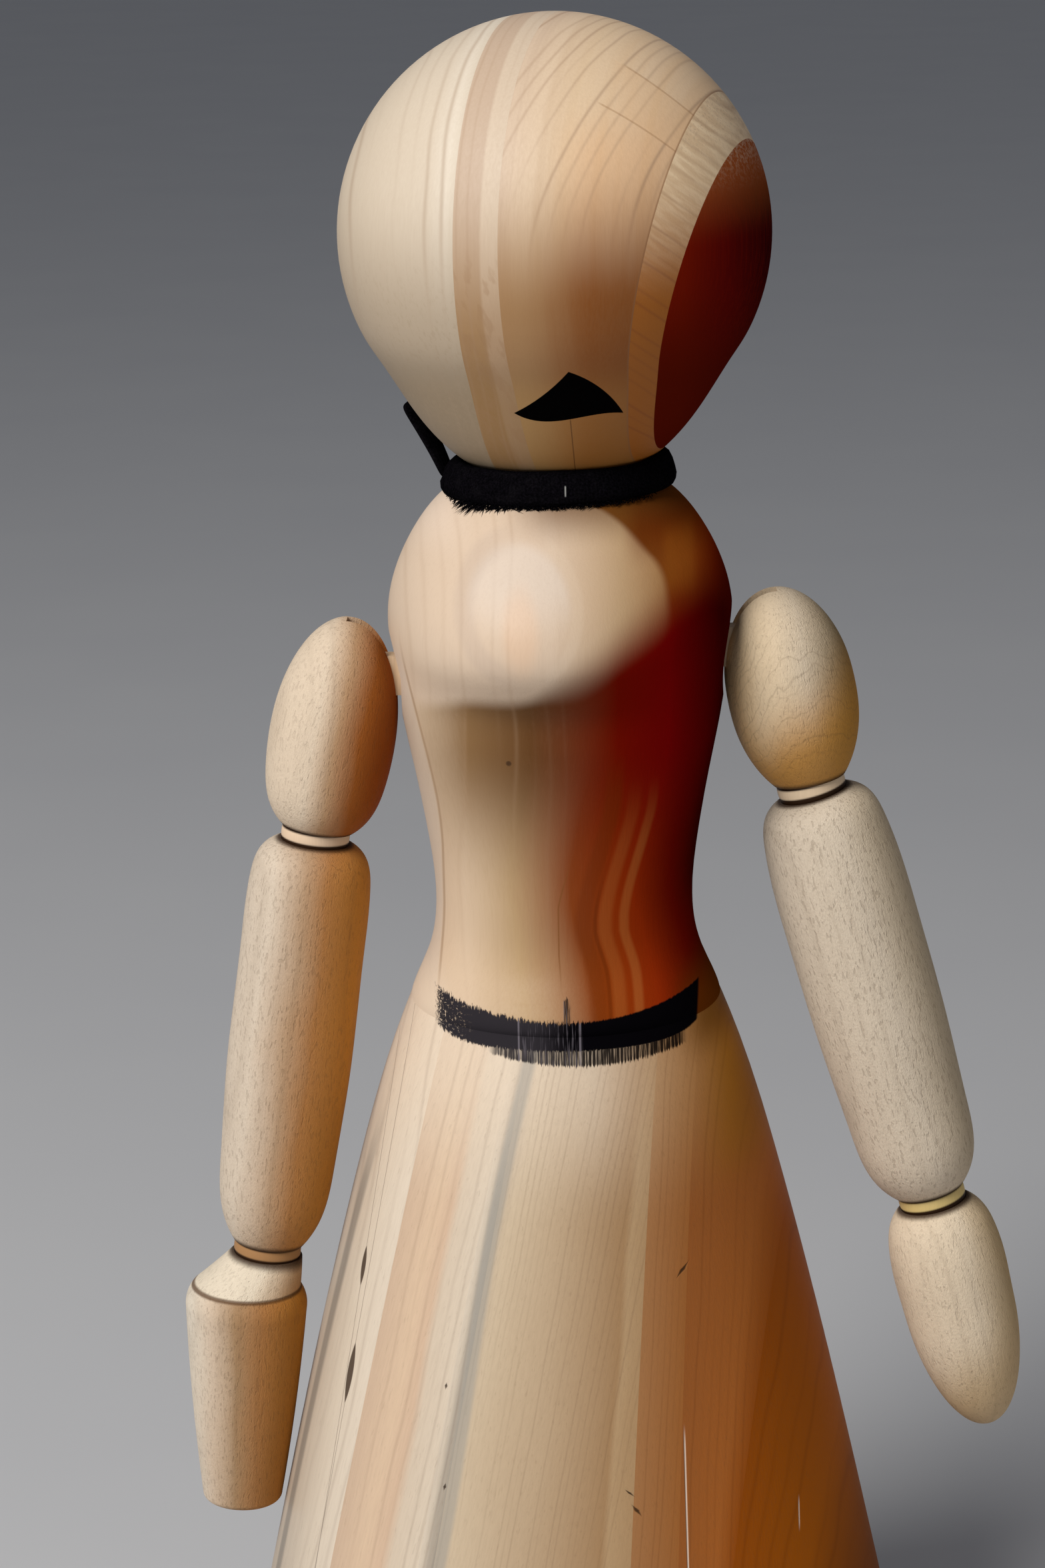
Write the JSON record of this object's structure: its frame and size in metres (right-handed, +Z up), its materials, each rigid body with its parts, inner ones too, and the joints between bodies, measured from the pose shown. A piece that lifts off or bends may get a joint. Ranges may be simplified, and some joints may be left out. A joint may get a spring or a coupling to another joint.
{
  "type": "jointed wooden puppet",
  "caption": "Turned wooden puppet: glued-strip cone skirt and egg head, round-chested torso, and arms on shoulder, ball elbow and ball wrist joints.",
  "frame": {"origin": "centre of the skirt's flat underside, on the skirt's turning axis", "axes": "+Z up along the turning axis, -Y the way the puppet faces, +X to the puppet's own left hand"},
  "size_m": [0.1396, 0.12, 0.3],
  "materials": {
    "head_pale": "sanded pale limewood, waxed",
    "head_tan": "sanded tan wood strip, waxed",
    "head_honey": "sanded honey wood strip, waxed",
    "head_cream": "sanded cream wood strip, waxed",
    "head_mahogany": "dark red stained strip, satin",
    "torso_wood": "turned wood with red-brown stain on its left side, satin",
    "skirt_pale": "pale wood strip, satin",
    "skirt_peach": "peach wood strip, satin",
    "skirt_grey": "grey-brown thin strip, satin",
    "skirt_tan": "tan fine-grained wood strip, satin",
    "skirt_rose": "pinkish brown wood strip, satin",
    "skirt_russet": "reddish brown wood strip, satin",
    "skirt_amber": "orange-brown wood strip, satin",
    "arm_beech": "sanded beech with short dark flecks",
    "ball_wood": "yellower boxwood, satin",
    "inner_wood": "plain turned hardwood",
    "plywood": "birch plywood",
    "black_paint": "matt black",
    "black_felt": "soft black felt",
    "steel": "plain drawn steel"
  },
  "bodies": {
    "trunk": {"skirt_strip_1": "skirt_pale", "skirt_strip_2": "skirt_peach", "skirt_strip_3": "skirt_grey", "skirt_strip_4": "skirt_tan", "skirt_strip_5": "skirt_rose", "skirt_strip_6": "skirt_russet", "skirt_strip_7": "skirt_amber", "base_disc": "plywood", "base_screws": "steel", "waist_screw": "steel", "waist_washer": "steel", "torso": "torso_wood", "neck_dowel": "inner_wood", "neck_washer": "black_felt", "collar": "black_felt", "collar_tail": "black_felt", "shoulder_keepers": "steel"},
    "head": {"head_strip_1": "head_pale", "head_strip_2": "head_tan", "head_strip_3": "head_honey", "head_strip_4": "head_cream", "head_strip_5": "head_mahogany", "mouth": "black_paint", "neck_keeper": "steel"},
    "right_shoulder": {"right_shoulder_knuckle": "inner_wood"},
    "right_upper_arm": {"right_upper_arm": "arm_beech", "right_shoulder_pin": "steel", "right_elbow_ball": "ball_wood", "right_elbow_pin": "steel"},
    "right_elbow": {"right_elbow_tongue": "steel"},
    "right_forearm": {"right_forearm": "arm_beech", "right_forearm_keeper": "steel", "right_wrist_ball": "ball_wood", "right_wrist_pin": "steel"},
    "right_wrist": {"right_wrist_tongue": "steel"},
    "right_hand": {"right_hand_barrel": "arm_beech", "right_hand_cuff": "arm_beech", "right_hand_keeper": "steel"},
    "left_shoulder": {"left_shoulder_knuckle": "inner_wood"},
    "left_upper_arm": {"left_upper_arm": "arm_beech", "left_shoulder_pin": "steel", "left_elbow_ball": "ball_wood", "left_elbow_pin": "steel"},
    "left_elbow": {"left_elbow_tongue": "steel"},
    "left_forearm": {"left_forearm": "arm_beech", "left_forearm_keeper": "steel", "left_wrist_ball": "ball_wood", "left_wrist_pin": "steel"},
    "left_wrist": {"left_wrist_tongue": "steel"},
    "left_hand": {"left_hand": "arm_beech", "left_hand_keeper": "steel"}
  },
  "joints": [
    {"name": "head_turn", "type": "hinge", "parent": "trunk", "child": "head", "pos_m": [0, 0, 0.24], "axis": [0, 0, 1], "range_deg": [-80, 80]},
    {"name": "right_shoulder_swing", "type": "hinge", "parent": "trunk", "child": "right_shoulder", "pos_m": [-0.02, 0, 0.19568], "axis": [-1, 0, 0], "range_deg": [-45, 90]},
    {"name": "right_shoulder_raise", "type": "hinge", "parent": "right_shoulder", "child": "right_upper_arm", "pos_m": [-0.03503, 0, 0.19568], "axis": [0, 1, 0], "range_deg": [0, 60]},
    {"name": "right_elbow_bend", "type": "hinge", "parent": "right_upper_arm", "child": "right_elbow", "pos_m": [-0.0402, 0, 0.1693], "axis": [-0.9901, 0, 0.1406], "range_deg": [-20, 20]},
    {"name": "right_forearm_twist", "type": "hinge", "parent": "right_elbow", "child": "right_forearm", "pos_m": [-0.0402, 0, 0.1693], "axis": [0.1406, 0, 0.9901], "range_deg": [-60, 60]},
    {"name": "right_wrist_bend", "type": "hinge", "parent": "right_forearm", "child": "right_wrist", "pos_m": [-0.0503, 0, 0.0982], "axis": [-0.9921, 0, 0.1257], "range_deg": [-20, 20]},
    {"name": "right_hand_twist", "type": "hinge", "parent": "right_wrist", "child": "right_hand", "pos_m": [-0.0503, 0, 0.0982], "axis": [0.1257, 0, 0.9921], "range_deg": [-60, 60]},
    {"name": "left_shoulder_swing", "type": "hinge", "parent": "trunk", "child": "left_shoulder", "pos_m": [0.02, 0, 0.19949], "axis": [-1, 0, 0], "range_deg": [-45, 90]},
    {"name": "left_shoulder_raise", "type": "hinge", "parent": "left_shoulder", "child": "left_upper_arm", "pos_m": [0.03545, 0, 0.19949], "axis": [0, -1, 0], "range_deg": [0, 60]},
    {"name": "left_elbow_bend", "type": "hinge", "parent": "left_upper_arm", "child": "left_elbow", "pos_m": [0.0402, 0, 0.1761], "axis": [-0.962, 0, -0.2731], "range_deg": [-20, 20]},
    {"name": "left_forearm_twist", "type": "hinge", "parent": "left_elbow", "child": "left_forearm", "pos_m": [0.0402, 0, 0.1761], "axis": [-0.2731, 0, 0.962], "range_deg": [-60, 60]},
    {"name": "left_wrist_bend", "type": "hinge", "parent": "left_forearm", "child": "left_wrist", "pos_m": [0.0603, 0, 0.1053], "axis": [-0.9713, 0, -0.2381], "range_deg": [-20, 20]},
    {"name": "left_hand_twist", "type": "hinge", "parent": "left_wrist", "child": "left_hand", "pos_m": [0.0603, 0, 0.1053], "axis": [-0.2381, 0, 0.9713], "range_deg": [-60, 60]}
  ]
}
